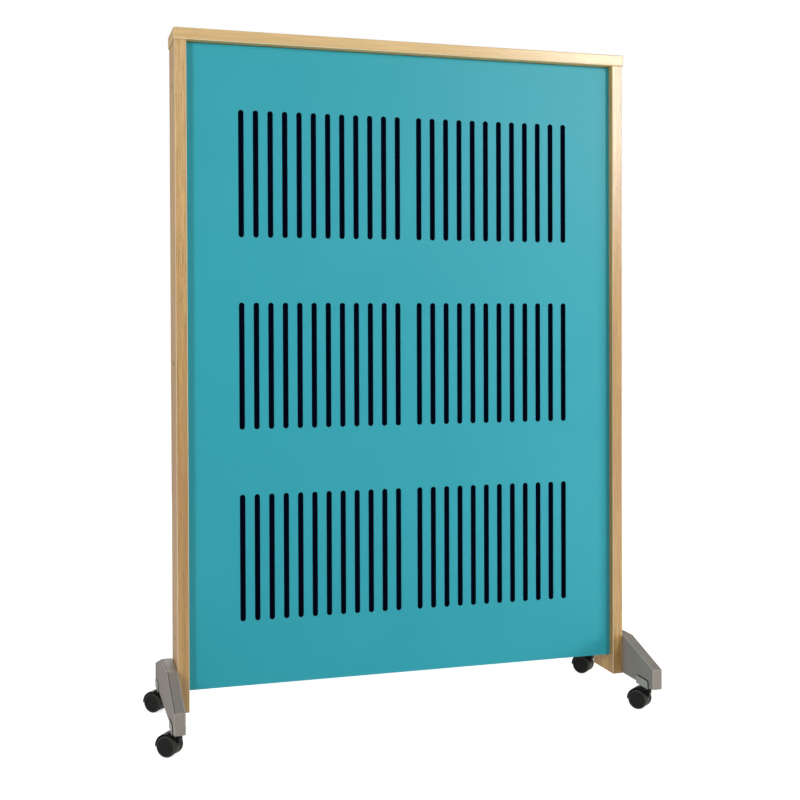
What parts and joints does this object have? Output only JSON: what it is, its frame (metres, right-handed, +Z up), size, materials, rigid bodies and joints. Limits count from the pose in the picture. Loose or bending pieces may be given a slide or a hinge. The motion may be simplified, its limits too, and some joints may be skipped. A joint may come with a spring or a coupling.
{
  "type": "rolling partition",
  "caption": "Mobile room partition: turquoise slotted sound-absorbing panels in a beech frame, on grey cast feet with twin-wheel swivel casters.",
  "frame": {"origin": "on the floor, midway between the side boards and midway through their depth", "axes": "+X along the partition to the right as seen from the front, +Y to the back, +Z up"},
  "size_m": [1.123, 0.4, 1.51],
  "materials": {
    "beech_board": "satin beech surface with eased edges",
    "turquoise_lacquer": "satin turquoise lacquer on fibreboard",
    "black_fleece": "matt black non-woven fleece",
    "softwood": "planed, untreated",
    "absorber_felt": "pressed felt slab",
    "zinc_plated_steel": "bright zinc plate",
    "blackened_steel": "turned, blackened and oiled",
    "cast_grey_paint": "satin silver-grey paint on a casting",
    "grey_nylon": "moulded, satin",
    "black_nylon_hood": "moulded, fine grain",
    "black_nylon_wheel": "moulded, satin"
  },
  "bodies": {
    "partition": {"left_side_board": "beech_board", "right_side_board": "beech_board", "cap_rail": "beech_board", "front_panel": "turquoise_lacquer", "back_panel": "turquoise_lacquer", "front_fleece": "black_fleece", "back_fleece": "black_fleece", "left_stile": "softwood", "right_stile": "softwood", "bottom_batten": "softwood", "lower_cross_batten": "softwood", "upper_cross_batten": "softwood", "top_batten": "softwood", "bottom_absorber": "absorber_felt", "middle_absorber": "absorber_felt", "top_absorber": "absorber_felt", "frame_dowels": "softwood", "cap_dowels": "softwood", "cap_screws": "zinc_plated_steel", "side_board_screws": "blackened_steel", "left_foot": "cast_grey_paint", "right_foot": "cast_grey_paint", "foot_bolts": "zinc_plated_steel", "fl_socket": "grey_nylon", "fr_socket": "grey_nylon", "bl_socket": "grey_nylon", "br_socket": "grey_nylon", "fl_stem": "blackened_steel", "fr_stem": "blackened_steel", "bl_stem": "blackened_steel", "br_stem": "blackened_steel", "thrust_washers": "grey_nylon"},
    "fl_caster": {"fl_hood": "black_nylon_hood", "fl_axle": "blackened_steel"},
    "fl_outer_wheel": {"fl_wheel_outer": "black_nylon_wheel"},
    "fl_inner_wheel": {"fl_wheel_inner": "black_nylon_wheel"},
    "fr_caster": {"fr_hood": "black_nylon_hood", "fr_axle": "blackened_steel"},
    "fr_outer_wheel": {"fr_wheel_outer": "black_nylon_wheel"},
    "fr_inner_wheel": {"fr_wheel_inner": "black_nylon_wheel"},
    "bl_caster": {"bl_hood": "black_nylon_hood", "bl_axle": "blackened_steel"},
    "bl_outer_wheel": {"bl_wheel_outer": "black_nylon_wheel"},
    "bl_inner_wheel": {"bl_wheel_inner": "black_nylon_wheel"},
    "br_caster": {"br_hood": "black_nylon_hood", "br_axle": "blackened_steel"},
    "br_outer_wheel": {"br_wheel_outer": "black_nylon_wheel"},
    "br_inner_wheel": {"br_wheel_inner": "black_nylon_wheel"}
  },
  "joints": [
    {"name": "fl_swivel", "type": "hinge", "parent": "partition", "child": "fl_caster", "pos_m": [-0.532, -0.152, 0.022], "axis": [0, 0, 1], "continuous": true},
    {"name": "fl_outer_spin", "type": "hinge", "parent": "fl_caster", "child": "fl_outer_wheel", "pos_m": [-0.54638, -0.14117, 0.022], "axis": [0.6018, 0.7986, 0], "continuous": true},
    {"name": "fl_inner_spin", "type": "hinge", "parent": "fl_caster", "child": "fl_inner_wheel", "pos_m": [-0.54638, -0.14117, 0.022], "axis": [0.6018, 0.7986, 0], "continuous": true},
    {"name": "fr_swivel", "type": "hinge", "parent": "partition", "child": "fr_caster", "pos_m": [0.532, -0.152, 0.022], "axis": [0, 0, 1], "continuous": true},
    {"name": "fr_outer_spin", "type": "hinge", "parent": "fr_caster", "child": "fr_outer_wheel", "pos_m": [0.52043, -0.13821, 0.022], "axis": [0.766, 0.6428, 0], "continuous": true},
    {"name": "fr_inner_spin", "type": "hinge", "parent": "fr_caster", "child": "fr_inner_wheel", "pos_m": [0.52043, -0.13821, 0.022], "axis": [0.766, 0.6428, 0], "continuous": true},
    {"name": "bl_swivel", "type": "hinge", "parent": "partition", "child": "bl_caster", "pos_m": [-0.532, 0.152, 0.022], "axis": [0, 0, 1], "continuous": true},
    {"name": "bl_outer_spin", "type": "hinge", "parent": "bl_caster", "child": "bl_outer_wheel", "pos_m": [-0.54558, 0.16381, 0.022], "axis": [0.6561, 0.7547, 0], "continuous": true},
    {"name": "bl_inner_spin", "type": "hinge", "parent": "bl_caster", "child": "bl_inner_wheel", "pos_m": [-0.54558, 0.16381, 0.022], "axis": [0.6561, 0.7547, 0], "continuous": true},
    {"name": "br_swivel", "type": "hinge", "parent": "partition", "child": "br_caster", "pos_m": [0.532, 0.152, 0.022], "axis": [0, 0, 1], "continuous": true},
    {"name": "br_outer_spin", "type": "hinge", "parent": "br_caster", "child": "br_outer_wheel", "pos_m": [0.52019, 0.16558, 0.022], "axis": [0.7547, 0.6561, 0], "continuous": true},
    {"name": "br_inner_spin", "type": "hinge", "parent": "br_caster", "child": "br_inner_wheel", "pos_m": [0.52019, 0.16558, 0.022], "axis": [0.7547, 0.6561, 0], "continuous": true}
  ]
}
